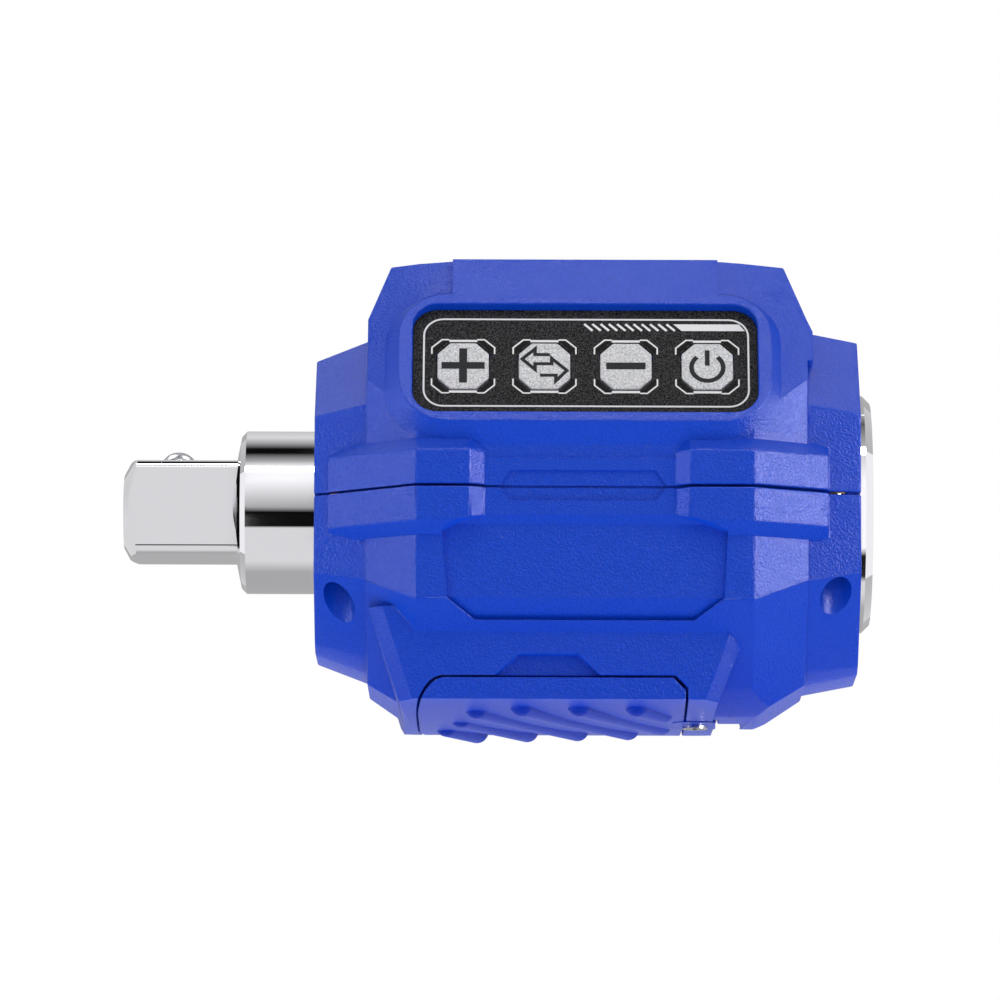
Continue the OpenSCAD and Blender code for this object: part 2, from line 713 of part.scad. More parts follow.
module lower_housing() color("royalblue")
    difference() {
        intersection() {
            union() {
                taper_block(body_x0, main_x0 + over, front_tip, front_root);
                taper_block(main_x1 - over, body_x1, rear_root, rear_tip);
                lower_block();
                battery_box();
                belt();
            }
            translate([body_x0 - over, -2 * main_half, -2 * base_h])
                cube([body_len + 2 * over, 4 * main_half, 2 * base_h]);
        }
        plan_prism(cavity_plan, cavity_floor, over);
        translate([bay_x0, -bay_half_y, -2 * base_h])
            cube([bay_x1 - bay_x0, 2 * bay_half_y, 2 * base_h + bay_z1]);
        shaft_bore();
        seam_cut(-1);
        side_prism(door_outline(door_gap / 2), 2 * box_half);
        both_faces() panel_cut();
        both_faces() notch_cut();
        both_faces() translate([0, -waist_half, 0]) side_prism([[inlay_x0 - inlay_taper, over],
            [inlay_x0 - inlay_taper, 0], [inlay_x0, -inlay_h + seam_h], [inlay_x1, -inlay_h + seam_h],
            [inlay_x1 + inlay_taper, 0], [inlay_x1 + inlay_taper, over]], inlay_depth);
        for (s = [-1, 1]) intersection() {
            translate([door_x0, s * tab_y, hinge_z]) rotate([90, 0, 0])
                cylinder(h = tab_w + 4 * slip, r = tab_swing_r, center = true);
            translate([door_x0 - tab_reach - 2 * slip, -box_half, tab_z - 4 * slip])
                cube([tab_swing_r + tab_reach, 2 * box_half, tab_swing_r]);
        }
        translate([0, 0, ear_z0 - over]) linear_extrude(ear_z1 - ear_z0 + over + 3 * slip)
            ear_outline(door_gap);
        translate([screw_x, 0, ear_z0])
            cylinder(h = door_insert_z + door_insert_l - ear_z0 + slip, r = door_bore_r);
        translate([arch_x, arch_y, -base_h - slip]) rotate([-90, 0, 0])
            cylinder(h = 2 * main_half, r = arch_r);
        for (p = screw_places) {
            translate([p[0], p[1], -2 * base_h]) cylinder(h = 2 * base_h + screw_seat_z, d = screw_bore_d);
            translate([p[0], p[1], screw_seat_z - over])
                cylinder(h = -screw_seat_z + 2 * over, d = screw_d + 3 * slip);
        }
    }

// Recess below the belt that runs over the upright face and onto the slope
module panel_cut()
    intersection() {
        side_prism([[panel_x0, -belt_h - waist_slope], [panel_x0 + panel_depth, -facet_z],
            [panel_x0 + panel_corner + panel_depth, -panel_bottom],
            [panel_x1 - panel_corner - panel_depth, -panel_bottom], [panel_x1 - panel_depth, -facet_z],
            [panel_x1, -belt_h - waist_slope], [waist_x1 + 2 * waist_bevel, -belt_h],
            [waist_x1, -waist_h], [waist_x0, -waist_h], [waist_x0 - 2 * waist_bevel, -belt_h]],
            2 * main_half);
        section_prism([[-main_half + panel_depth, -waist_h - waist_slope],
            [-main_half + panel_depth, -facet_z + panel_depth * (root2 - 1)],
            [-main_half + panel_depth + 2 * facet_z, -3 * facet_z], [-2 * main_half, -3 * facet_z],
            [-2 * main_half, -waist_h], [-waist_half + fit, -waist_h]], main_x0, main_x1);
    }

// Finger notch above the door's edge
module notch_cut()
    translate([0, -box_half, 0]) side_prism([[notch_x0, door_top_z],
        [notch_x0 + notch_taper, notch_top_z], [notch_x0 + notch_w - notch_taper, notch_top_z],
        [notch_x0 + notch_w, door_top_z]], notch_depth);

module battery_door() color("royalblue")
    difference() {
        union() {
            difference() {
                intersection() {
                    side_prism(door_outline(-door_gap / 2), door_y);
                    belly_form(0);
                }
                translate([door_x0 + door_wall, -box_half + door_wall, door_floor_z])
                    cube([door_len - 2 * door_wall, 2 * (box_half - door_wall), 2 * door_side_h]);
            }
            grip_ribs();
            for (s = [-1, 1]) translate([door_x0 - tab_reach, s * tab_y - tab_w / 2, tab_z])
                cube([tab_reach + door_wall + door_curve_l, tab_w, tab_t]);
            for (s = [-1, 1]) translate([door_x0 + door_wall, s * tab_y - tab_w / 2, door_floor_z - fit])
                cube([door_curve_l, tab_w, tab_z - door_floor_z + 2 * fit]);
            translate([0, 0, ear_z0]) linear_extrude(ear_z1 - ear_z0) ear_outline(0);
        }
        translate([screw_x, 0, ear_z0 - over]) cylinder(h = 2 * door_side_h, d = door_shank_d + 2 * slip);
    }

// Slanted round-topped ribs on the underside: each runs from one end to the other, or to
// the limits of the grip area
module grip_ribs() {
    slope = tan(rib_slant);
    for (i = [0:grip_count - 1]) {
        start = door_x0 + grip_start + i * rib_pitch;
        foot = start - grip_front * slope;
        ya = max(grip_front, (door_x0 + grip_left - foot) / (slope + grip_taper));
        yb = min((grip_back - (foot - door_x0) * grip_back_taper) / (1 + slope * grip_back_taper),
            (door_x1 - grip_right - foot) / slope);
        if (yb - ya > rib_w / 2)
            grip_rib([foot + ya * slope, ya], [foot + yb * slope, yb]);
    }
}

module grip_rib(a, b) {
    run = norm(b - a);
    translate([a[0], a[1], belly_z - rib_h + rib_w / 2]) {
        sphere(d = rib_w, $fn = 32);
        rotate([-90, 0, -rib_slant]) cylinder(h = run, d = rib_w, $fn = 32);
    }
    translate([b[0], b[1], belly_z - rib_h + rib_w / 2]) sphere(d = rib_w, $fn = 32);
}

module door_screw() color("silver")
    translate([screw_x, 0, 0]) difference() {
        union() {
            translate([0, 0, ear_z0 - door_head_h]) cylinder(h = door_head_h - fit / 2, d = door_head_d);
            translate([0, 0, ear_z0 - door_head_h / 2])
                cylinder(h = door_tip_z - ear_z0 + door_head_h / 2, d = door_shank_d);
        }
        for (a = [0, 90]) rotate([0, 0, a])
            translate([-door_head_d / 3, -slot_w / 2, ear_z0 - door_head_h - over])
                cube([2 * door_head_d / 3, slot_w, over + 0.8 * door_head_h]);
    }

module screw_clip() color("dimgray")
    translate([screw_x, 0, clip_z]) difference() {
        cylinder(h = clip_t, d = clip_d);
        translate([0, 0, -over]) cylinder(h = clip_t + 2 * over, d = door_shank_d + fit);
    }

module door_insert() color("goldenrod")
    translate([screw_x, 0, door_insert_z]) difference() {
        cylinder(h = door_insert_l, r = door_bore_r - fit);
        translate([0, 0, -over]) cylinder(h = door_insert_l + 2 * over, d = door_insert_bore);
    }

module housing_screws() color("gray")
    for (p = screw_places) translate([p[0], p[1], 0]) difference() {
        union() {
            translate([0, 0, screw_seat_z - screw_head_h]) cylinder(h = screw_head_h, d = screw_head_d);
            translate([0, 0, screw_seat_z - fit]) cylinder(h = screw_len + fit, d = screw_d - slip);
        }
        for (a = [0, 90]) rotate([0, 0, a])
            translate([-screw_head_d / 4, -slot_w / 2, screw_seat_z - screw_head_h - over])
                cube([screw_head_d / 2, slot_w, over + 0.7 * screw_head_h]);
    }

module threaded_inserts() color("goldenrod")
    for (p = screw_places) translate([p[0], p[1], slip]) difference() {
        cylinder(h = insert_l - slip, d = insert_d - slip);
        translate([0, 0, -over]) cylinder(h = insert_l + 2 * over, d = screw_d);
    }

module torque_shaft() color("gainsboro")
    difference() {
        union() {
            intersection() {
                square_bar(0, collar_x + over, square_af, square_corner_r);
                rotate([0, 90, 0]) rotate_extrude()
                    polygon([[0, 0], [nose_flat_r, 0], [square_af * 0.7, nose_len],
                        [square_af * 0.7, 2 * square_len], [0, 2 * square_len]]);
            }
            rotate([0, 90, 0]) rotate_extrude() polygon([
                [0, square_len + neck_shares[0][1] * neck_len],
                for (q = neck_shares) [square_af / 2 + q[0] * neck_rise, square_len + q[1] * neck_len],
                [collar_d / 2 - collar_chamfer, collar_x],
                [collar_d / 2, collar_x + collar_chamfer], [collar_d / 2, collar_end_x - collar_chamfer],
                [collar_d / 2 - collar_chamfer, collar_end_x], [gauge_d / 2, collar_end_x],
                [gauge_d / 2, head_x - head_step], [gauge_d / 2 + head_step, head_x], [head_d / 2, head_x],
                [head_d / 2, flange_x], [flange_d / 2, flange_x],
                [flange_d / 2, face_x - flange_chamfer], [flange_d / 2 - flange_chamfer, face_x],
                [0, face_x]]);
        }
        tube_x(ring_x - fit, ring_x + ring_t + fit, collar_d, ring_groove_d / 2);
        for (s = [0, 1]) mirror([0, 0, s])
            translate([gauge_x[0] - wall, -gauge_d / 2, gauge_d / 2 - gauge_flat])
                cube([gauge_x[1] + gauge_l - gauge_x[0] + 2 * wall, gauge_d, gauge_d]);
        square_bar(face_x - socket_depth, face_x + over, square_af + socket_clear, square_corner_r / 2);
        along_x(face_x - collar_chamfer, face_x + slip, square_af / 2 + square_corner_r,
            square_af / 2 + square_corner_r + collar_chamfer + slip);
        translate([ball_x, 0, spring_floor]) cylinder(h = square_af, d = ball_d + slip);
        translate([face_x - ball_x, 0, 0]) cylinder(h = head_d, d = ball_d * 0.8);
    }

module detent_ball() color("silver") translate([ball_x, 0, ball_z]) sphere(d = ball_d, $fn = 64);

module detent_spring() color("dimgray") translate([ball_x, 0, 0])
    coil(detent_spring_r, spring_floor + fit, ball_z - ball_d / 2 + detent_seat, spring_wire, detent_turns);

module keypad_overlay() color("black")
    on_console() translate([0, 0, -floor_n + fit / 5]) linear_extrude(overlay_t - fit / 5) difference() {
        translate([pocket_x, pocket_v + pocket_h / 2])
            round_rect(pocket_w - 2 * fit, pocket_h - 2 * fit, pocket_r);
        for (i = [0:3]) translate([key_x0 + i * key_pitch, key_v])
            octagon(key_w + 2 * key_gap, key_h + 2 * key_gap, key_chamfer);
    }

// A key: cap through the overlay and the wall, with a flange behind the wall that holds it
module key_cap(i) color("whitesmoke")
    at_key(i) {
        translate([0, 0, -inner_n - slip - key_flange_t / 2])
            linear_extrude(inner_n + slip + key_flange_t / 2 - pocket_depth + key_proud)
                octagon(key_w, key_h, key_chamfer);
        translate([0, 0, -inner_n - slip - key_flange_t]) linear_extrude(key_flange_t)
            octagon(key_w + 2 * flange_extra, key_h + 2 * flange_extra, key_chamfer);
    }

module key_plus() key_cap(0);
module key_swap() key_cap(1);
module key_minus() key_cap(2);
module key_power() key_cap(3);

module key_board() color("darkgreen")
    on_console() translate([pocket_x, key_v, -key_board_n - board_t]) linear_extrude(board_t - fit / 5)
        round_rect(key_board_w, key_board_h, board_r);

module key_switches() color("dimgray")
    for (i = [0:3]) at_key(i) {
        translate([-switch_w / 2, -switch_w / 2, -key_board_n]) cube([switch_w, switch_w, switch_h]);
        translate([0, 0, -key_board_n + switch_h - fit]) cylinder(h = plunger_h + fit, d = plunger_d);
    }

module display_window() color([0.2, 0.22, 0.25, 0.6])
    translate([mid_x, 0, top_h - window_t]) linear_extrude(window_t)
        round_rect(window_l - 2 * fit, window_w - 2 * fit, wall);

module lcd_module() color("darkseagreen")
    translate([mid_x, 0, cavity_top - lcd_t - fit]) linear_extrude(lcd_t)
        round_rect(window_l, window_w, board_r);

// Flat cable that folds from the display down to the main board
module lcd_ribbon() color("peru") {
    z1 = cavity_top - lcd_t - 2 * fit;
    z0 = main_board_z + board_t + fit;
    start = window_w / 2 - ribbon_in;
    bend = window_w / 2 + ribbon_bulge[0];
    middle = window_w / 2 + ribbon_bulge[1];
    drop = 2 * ribbon_t;
    section_prism([[start, z1], [bend, z1 - drop], [middle, (z0 + z1) / 2], [bend, z0 + drop],
        [start, z0], [start, z0 + ribbon_t], [bend - ribbon_t, z0 + drop + ribbon_t],
        [middle - ribbon_t, (z0 + z1) / 2], [bend - ribbon_t, z1 - drop - ribbon_t],
        [start, z1 - ribbon_t]], ribbon_x, ribbon_x + ribbon_w);
}

module main_board() color("darkgreen")
    difference() {
        translate([mid_x - main_board_half, main_board_y[0], main_board_z + fit])
            cube([2 * main_board_half, main_board_y[1] - main_board_y[0], board_t - 2 * fit]);
        for (x = post_x, y = post_y) translate([x, y, main_board_z - over])
            cylinder(h = board_t + 2 * over, d = board_screw_d + 2 * slip, $fn = 24);
    }

module board_screws() color("gray")
    for (x = post_x, y = post_y) translate([x, y, 0]) {
        translate([0, 0, main_board_z - board_screw_head[1]])
            cylinder(h = board_screw_head[1], d = board_screw_head[0], $fn = 32);
        translate([0, 0, main_board_z - fit])
            cylinder(h = board_screw_len, d = board_screw_d, $fn = 24);
    }

module buzzer() color("black")
    translate([mid_x - buzzer_place[0], buzzer_place[1], main_board_z + board_t]) difference() {
        cylinder(h = buzzer_h, d = buzzer_d);
        translate([0, 0, buzzer_h - buzzer_hole[1]])
            cylinder(h = 2 * buzzer_hole[1], d = buzzer_hole[0], $fn = 32);
    }

module strain_gauges() color("orange")
    for (x = gauge_x, s = [0, 1]) mirror([0, 0, s])
        translate([x, -gauge_w / 2, gauge_d / 2 - gauge_flat + fit / 5]) cube([gauge_l, gauge_w, gauge_t]);

// Flexible circuit that wraps the back of the shaft and rises to the main board
module gauge_flex() color("peru") {
    r = gauge_d / 2 + fit;
    intersection() {
        tube_x(flex_x, flex_x + flex_w, r + flex_t, r);
        translate([flex_x - over, -fit, -gauge_d]) cube([flex_w + 2 * over, gauge_d, 2 * gauge_d]);
    }
    translate([flex_x, 0, r]) cube([flex_w, flex_t, main_board_z - r]);
}

module battery_cell(i, flip) color("slategray")
    translate([cell_x[i], 0, cell_z]) rotate([flip ? 90 : -90, 0, 0]) {
        translate([0, 0, -cell_len / 2]) cylinder(h = cell_len - nub_l, d = cell_d);
        translate([0, 0, cell_len / 2 - nub_l - fit]) cylinder(h = nub_l + fit, d = nub_d);
    }

module battery_cell_1() battery_cell(0, false);
module battery_cell_2() battery_cell(1, true);

// Plates at both ends of each cell; the raised button meets the cell's positive end
module contact_plates() color("silver")
    for (i = [0, 1], s = [-1, 1]) {
        raised = (i == 0) == (s > 0);
        translate([cell_x[i], s * (bay_half_y - fit / 5), cell_z]) rotate([s * 90, 0, 0]) {
            translate([-plate_w / 2, -plate_w / 2, 0]) cube([plate_w, plate_w, plate_t]);
            if (raised) cylinder(h = contact_room - fit, d = nub_d);
        }
    }

module contact_springs() color("silver")
    for (i = [0, 1]) {
        s = i == 0 ? -1 : 1;
        translate([cell_x[i], s * bay_half_y, cell_z]) rotate([s * 90, 0, 0])
            coil(contact_spring[0], plate_t + fit, contact_room - fit, contact_spring[1],
                contact_spring[2]);
    }

module ring_seal(x, shaft_r) color("black")
    translate([x, 0, 0]) rotate([0, 90, 0]) rotate_extrude()
        translate([shaft_r + seal_r + fit / 5, 0]) circle(r = seal_r, $fn = 32);

module front_seal() ring_seal(front_seal_x, collar_d / 2);
module rear_seal() ring_seal(rear_seal_x, head_d / 2);

module front_bush() color("ivory")
    tube_x(bush_x0 + fit, cavity_x0, collar_d / 2 + bush_wall, collar_d / 2 + fit);

// Open spring ring in the collar's groove that keeps the housing on the shaft
module retaining_ring() color("dimgray")
    difference() {
        tube_x(ring_x, ring_x + ring_t, ring_d / 2, ring_groove_d / 2 + fit);
        translate([ring_x - over, -ring_gap / 2, 0]) cube([ring_t + 2 * over, ring_gap, ring_d]);
    }

upper_housing();
lower_housing();
battery_door();
door_screw();
screw_clip();
door_insert();
housing_screws();
threaded_inserts();
torque_shaft();
detent_ball();
detent_spring();
keypad_overlay();
key_plus();
key_swap();
key_minus();
key_power();
key_board();
key_switches();
display_window();
lcd_module();
lcd_ribbon();
main_board();
board_screws();
buzzer();
strain_gauges();
gauge_flex();
battery_cell_1();
battery_cell_2();
contact_plates();
contact_springs();
front_seal();
rear_seal();
front_bush();
retaining_ring();
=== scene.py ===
"""Finishes, soft edges, keypad printing and studio of a half inch digital torque adapter."""

import json
import math
from itertools import combinations

import bmesh
import bpy
from mathutils import Matrix, Vector
from mathutils.geometry import intersect_point_line


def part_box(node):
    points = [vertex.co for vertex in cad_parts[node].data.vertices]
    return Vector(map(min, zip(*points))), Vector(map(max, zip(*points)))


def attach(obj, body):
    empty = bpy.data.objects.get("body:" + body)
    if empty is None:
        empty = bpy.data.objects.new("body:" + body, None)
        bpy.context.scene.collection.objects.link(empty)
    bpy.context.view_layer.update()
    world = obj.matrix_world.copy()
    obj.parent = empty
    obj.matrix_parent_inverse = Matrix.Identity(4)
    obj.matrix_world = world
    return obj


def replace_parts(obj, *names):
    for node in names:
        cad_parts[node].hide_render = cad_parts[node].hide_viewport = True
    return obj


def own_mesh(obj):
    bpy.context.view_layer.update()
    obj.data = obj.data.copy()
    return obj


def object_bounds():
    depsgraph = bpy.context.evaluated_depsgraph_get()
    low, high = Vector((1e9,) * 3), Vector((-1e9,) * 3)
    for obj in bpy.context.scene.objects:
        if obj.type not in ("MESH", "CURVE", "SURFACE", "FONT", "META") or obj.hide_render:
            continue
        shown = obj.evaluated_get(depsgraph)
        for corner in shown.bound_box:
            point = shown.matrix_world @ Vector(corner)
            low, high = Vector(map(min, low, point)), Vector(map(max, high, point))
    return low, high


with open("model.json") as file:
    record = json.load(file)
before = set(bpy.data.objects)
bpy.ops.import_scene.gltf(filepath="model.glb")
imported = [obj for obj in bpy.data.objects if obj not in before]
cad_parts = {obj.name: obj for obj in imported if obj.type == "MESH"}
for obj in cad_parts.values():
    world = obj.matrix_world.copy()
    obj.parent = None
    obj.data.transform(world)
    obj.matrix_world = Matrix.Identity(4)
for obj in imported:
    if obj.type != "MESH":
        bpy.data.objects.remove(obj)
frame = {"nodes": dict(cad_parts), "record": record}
cad_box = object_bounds()
behaviour = frame["record"]["behaviour"]
node_body = {node: body for body, nodes in behaviour["bodies"].items() for node in nodes}
node_slot = {part["node"]: part["material_slot"] for part in frame["record"]["subparts"]}

MM = 0.001
MIDDLE = (cad_box[0] + cad_box[1]) / 2

# Rounding of the moulded edges
SHELL_ROUNDING = 0.22 * MM
KEY_ROUNDING = 0.18 * MM
ROUNDING_STEPS = 3
HARD_EDGE = math.radians(24)    # the least bend that shows as an edge
FLAT = math.radians(0.08)       # triangles that bend less than this are one flat face
WELD = 0.002 * MM               # corners closer than this are one corner
BLUNTEST = 3.0                  # radians; a blunter corner is taken as this one
ONE_SIDE = 1.1                  # roundings that fit across a face that is rounded along one side
BOTH_SIDES = 2.2                # and along two sides that face each other
CORNER_SHARE = 0.48             # of the room at a corner, for each of its roundings

# The keypad's slanted face leans back from a line below its lower edge. On it, x runs along the
# adapter and v up the slant, in mm
KEYPAD_LEAN = math.radians(24)
KEYPAD_ORIGIN = Vector((0, -26.5, 8.55)) * MM
FILM_LEVEL = -1.5               # mm along the face's normal
KEY_LEVEL = -1.3
INK = 0.03                      # mm that the printing stands above what carries it
SHARPEST_MITRE = 0.35           # keeps the mitre of a sharp corner short
KEY_X = {"key_plus": 45.6, "key_swap": 56.35, "key_minus": 67.1, "key_power": 77.85}
KEY_V = 9.45

# Frame line round the keypad, with hatching and a bar in its upper right corner
FRAME_X = (40.4, 83.3)
FRAME_V = (3.2, 16.9)
FRAME_RADIUS = 2.6
FRAME_STEPS = 8
FRAME_LINE = 0.24
HATCH_X = (61.6, 73.6)
HATCH_V = (15.15, 16.2)
HATCH_COUNT = 11
HATCH_LEAN = 1.1
HATCH_LINE = 0.312
BAR_FOOT_X = (74.5, 82.9)
BAR_TOP_X = (73.4, 82.1)

# Broken octagonal bracket round each key, in mm from the key's middle: the line at one corner, a
# near black patch inside that corner that is painted shadow for the key's opening edge, and the
# thicker line between two corners
CORNER_LINE = [(4.15, 1.95), (4.15, 2.95), (2.8, 4.2), (1.85, 4.2)]
CORNER_LINE_WIDTH = 0.2
CORNER_SHADOW_PATCH = [(3.9, 1.9), (3.9, 2.75), (2.65, 3.95), (1.95, 3.95), (2.25, 3.75), (3.55, 2.25)]
SIDE_LINE = [(-1.85, 4.0), (1.85, 4.0)]
SIDE_LINE_WIDTH = 0.34

# Symbols on the keys, in mm from the key's middle
ARM = 1.05 / 2                  # half the width of the arms of the plus and the minus
PLUS_REACH = (2.85, 2.7)
MINUS_REACH = 2.6
SWAP_PATH = [(0.7, 1.75), (-1.25, 1.75), (-1.25, 2.65), (-2.95, 1.05), (-1.25, -0.6), (-1.25, 0.3),
             (0.95, 0.3), (0.95, 1.15), (2.95, -0.75), (1.5, -2.4), (1.5, -1.5), (-0.6, -1.5)]
SWAP_LINE = 0.46
POWER_RADIUS = 2.1
POWER_DROP = 0.2
POWER_LINE = 0.62
POWER_GAP = 40                  # degrees to each side of the stem
POWER_STEM_V = (0.1, 2.5)

# Digits of the display, which shows through the window in the top
DIGIT_COUNT = 4
DIGIT_MIDDLE_X = 62.025
DIGIT_HALF = (2.1, 3.8)         # half a digit's width and height, in mm
DIGIT_PITCH = 5.9
SEGMENT_WIDTH = 0.62
SEGMENT_GAP = 0.12
# From end to end, in halves of the digit's width and height
SEGMENTS = [((-1, 1), (1, 1)), ((-1, 0), (1, 0)), ((-1, -1), (1, -1)), ((-1, 0), (-1, 1)),
            ((1, 0), (1, 1)), ((-1, -1), (-1, 0)), ((1, -1), (1, 0))]

# Studio
FLOOR_SIZE = 3
FLOOR_CLEARANCE = 0.02 * MM
RING_RADIUS = 0.9
RING_SIDES = 180
RING_GLOW = 1.15
AMBIENT = 0.62                  # strength of the world's light on the object

# Neutral studio papers
WHITE, PALE, GREY, DARK, BLACK = "#FFFFFF", "#D8D8D8", "#A8A8A8", "#585858", "#0C0C0C"

# Camera at the photograph's place: long lens, a little below the object, aimed slightly upwards
CAMERA_PLACE = Vector((0.054148, -0.989524, -0.142479))
YAW, LIFT, ROLL = (math.radians(angle) for angle in (0.2135, -8.2982, 0.2215))
FOCAL_LENGTH = 267.4
SENSOR_WIDTH = 36
NEAR_LIMIT = 0.01


# ---------------------------------------------------------------- colours and nodes

def linear(hex_colour):
    """An sRGB hex colour as the linear RGBA that sockets take."""
    channels = [int(hex_colour[i:i + 2], 16) / 255 for i in (1, 3, 5)]
    return [c / 12.92 if c <= 0.04045 else ((c + 0.055) / 1.055) ** 2.4 for c in channels] + [1]


def add_node(tree, kind, inputs=None, stops=(), **settings):
    """Adds a node. An input given as a socket is linked, and any other value is set.

    Stops of (position, hex colour) fill a colour ramp."""
    node = tree.nodes.new(kind)
    for name, value in settings.items():
        setattr(node, name, value)
    for key, value in (inputs or {}).items():
        if isinstance(value, bpy.types.NodeSocket):
            tree.links.new(value, node.inputs[key])
        else:
            node.inputs[key].default_value = value
    for i, (position, colour) in enumerate(stops):
        elements = node.color_ramp.elements
        element = elements[i] if i < 2 else elements.new(position)
        element.position, element.color = position, linear(colour)
    return node


def new_material(name):
    """An empty material and its node tree."""
    material = bpy.data.materials.new(name)
    material.use_nodes = True
    material.node_tree.nodes.clear()
    return material, material.node_tree


# ---------------------------------------------------------------- finishes

def spark_eroded_abs():
    """ABS moulded in a spark-eroded tool: satin, with a fine grain that glitters a little."""
    material, tree = new_material("spark_eroded_abs_blue")
    place = add_node(tree, "ShaderNodeTexCoord").outputs["Object"]
    # The real grain is about 0.05 mm; drawn at 0.3 mm so that it shows
    pits = add_node(tree, "ShaderNodeTexNoise", {
        "Vector": place, "Scale": 1 / (0.3 * MM), "Detail": 2.0, "Roughness": 0.6}).outputs["Fac"]
    tint = add_node(tree, "ShaderNodeValToRGB", {"Fac": pits},
                    stops=[(0.3, "#063DBA"), (0.7, "#0B45CA")])
    relief = add_node(tree, "ShaderNodeBump", {
        "Height": pits, "Strength": 1.0, "Distance": 0.13 * MM})
    plastic = add_node(tree, "ShaderNodeBsdfPrincipled", {
        "Base Color": tint.outputs["Color"], "Roughness": 0.27, "IOR": 1.53,
        "Specular IOR Level": 0.2, "Normal": relief.outputs["Normal"]})
    add_node(tree, "ShaderNodeOutputMaterial", {"Surface": plastic.outputs["BSDF"]})
    return material


def smooth_metal(name, colour, roughness):
    """Metal with an even surface, plated, drawn or turned."""
    material, tree = new_material(name)
    metal = add_node(tree, "ShaderNodeBsdfPrincipled", {
        "Base Color": linear(colour), "Metallic": 1.0, "Roughness": roughness})
    add_node(tree, "ShaderNodeOutputMaterial", {"Surface": metal.outputs["BSDF"]})
    return material


def zinc_plated_steel():
    """Turned steel under bright zinc: metallic, softer than chrome, with fine tool marks."""
    material, tree = new_material("zinc_plated_steel")
    place = add_node(tree, "ShaderNodeTexCoord").outputs["Object"]
    # Tool marks are about 0.05 mm apart; drawn at 0.12 mm so that they show
    marks = add_node(tree, "ShaderNodeTexNoise", {
        "Vector": place, "Scale": 1 / (0.12 * MM), "Detail": 2.0, "Roughness": 0.5}).outputs["Fac"]
    relief = add_node(tree, "ShaderNodeBump", {
        "Height": marks, "Strength": 0.15, "Distance": 0.01 * MM})
    metal = add_node(tree, "ShaderNodeBsdfPrincipled", {
        "Base Color": linear("#C9CBD0"), "Metallic": 1.0, "Roughness": 0.24,
        "Normal": relief.outputs["Normal"]})
    add_node(tree, "ShaderNodeOutputMaterial", {"Surface": metal.outputs["BSDF"]})
    return material


def textured_polyester_film():
    """Keypad film, printed black on its back and textured in front: pale speckle in soft black."""
    material, tree = new_material("textured_polyester_film")
    place = add_node(tree, "ShaderNodeTexCoord").outputs["Object"]
    # The texture's peaks are about 0.1 mm; drawn at 0.2 mm so that they show
    peaks = add_node(tree, "ShaderNodeTexNoise", {
        "Vector": place, "Scale": 1 / (0.2 * MM), "Detail": 2.0, "Roughness": 0.7}).outputs["Fac"]
    tint = add_node(tree, "ShaderNodeValToRGB", {"Fac": peaks},
                    stops=[(0.42, "#060607"), (0.66, "#48484A")])
    relief = add_node(tree, "ShaderNodeBump", {
        "Height": peaks, "Strength": 0.35, "Distance": 0.03 * MM})
    film = add_node(tree, "ShaderNodeBsdfPrincipled", {
        "Base Color": tint.outputs["Color"], "Roughness": 0.6, "IOR": 1.5,
        "Specular IOR Level": 0.05, "Normal": relief.outputs["Normal"]})
    add_node(tree, "ShaderNodeOutputMaterial", {"Surface": film.outputs["BSDF"]})
    return material


def speckled_key_plastic():
    """Moulded keys in pale grey with a fine darker speckle."""
    material, tree = new_material("speckled_key_plastic")
    place = add_node(tree, "ShaderNodeTexCoord").outputs["Object"]
    # The real specks are about 0.1 mm; drawn at 0.22 mm so that they show
    specks = add_node(tree, "ShaderNodeTexNoise", {
        "Vector": place, "Scale": 1 / (0.22 * MM), "Detail": 2.0, "Roughness": 0.6}).outputs["Fac"]
    tint = add_node(tree, "ShaderNodeValToRGB", {"Fac": specks},
                    stops=[(0.35, "#A6A7AA"), (0.62, "#DEDEE1")])
    plastic = add_node(tree, "ShaderNodeBsdfPrincipled", {
        "Base Color": tint.outputs["Color"], "Roughness": 0.45, "IOR": 1.5,
        "Specular IOR Level": 0.1})
    add_node(tree, "ShaderNodeOutputMaterial", {"Surface": plastic.outputs["BSDF"]})
    return material


def plain_plastic(name, colour, roughness, ior=1.5, gloss=0.5):
    """A part of one colour, moulded, sheathed or printed."""
    material, tree = new_material(name)
    plastic = add_node(tree, "ShaderNodeBsdfPrincipled", {
        "Base Color": linear(colour), "Roughness": roughness, "IOR": ior,
        "Specular IOR Level": gloss})
    add_node(tree, "ShaderNodeOutputMaterial", {"Surface": plastic.outputs["BSDF"]})
    return material


def tinted_acrylic():
    """Polished acrylic with a smoke tint: clear, glossy and a little dark."""
    material, tree = new_material("tinted_acrylic")
    acrylic = add_node(tree, "ShaderNodeBsdfPrincipled", {
        "Base Color": linear("#8C959D"), "Roughness": 0.03, "IOR": 1.49,
        "Transmission Weight": 1.0})
    add_node(tree, "ShaderNodeOutputMaterial", {"Surface": acrylic.outputs["BSDF"]})
    return material


def fibreglass_board():
    """Glass-filled epoxy under green solder mask, with copper tracks showing as paler lines."""
    material, tree = new_material("fibreglass_board")
    place = add_node(tree, "ShaderNodeTexCoord").outputs["Object"]
    # Tracks run 1.5 mm apart, with links between them every 3 mm
    tracks = add_node(tree, "ShaderNodeTexBrick", {
        "Vector": place, "Scale": 1 / (6 * MM), "Mortar Size": 0.03, "Color1": linear("#0F5A33"),
        "Color2": linear("#11633A"), "Mortar": linear("#2C8453")})
    board = add_node(tree, "ShaderNodeBsdfPrincipled", {
        "Base Color": tracks.outputs["Color"], "Roughness": 0.35, "IOR": 1.55})
    add_node(tree, "ShaderNodeOutputMaterial", {"Surface": board.outputs["BSDF"]})
    return material


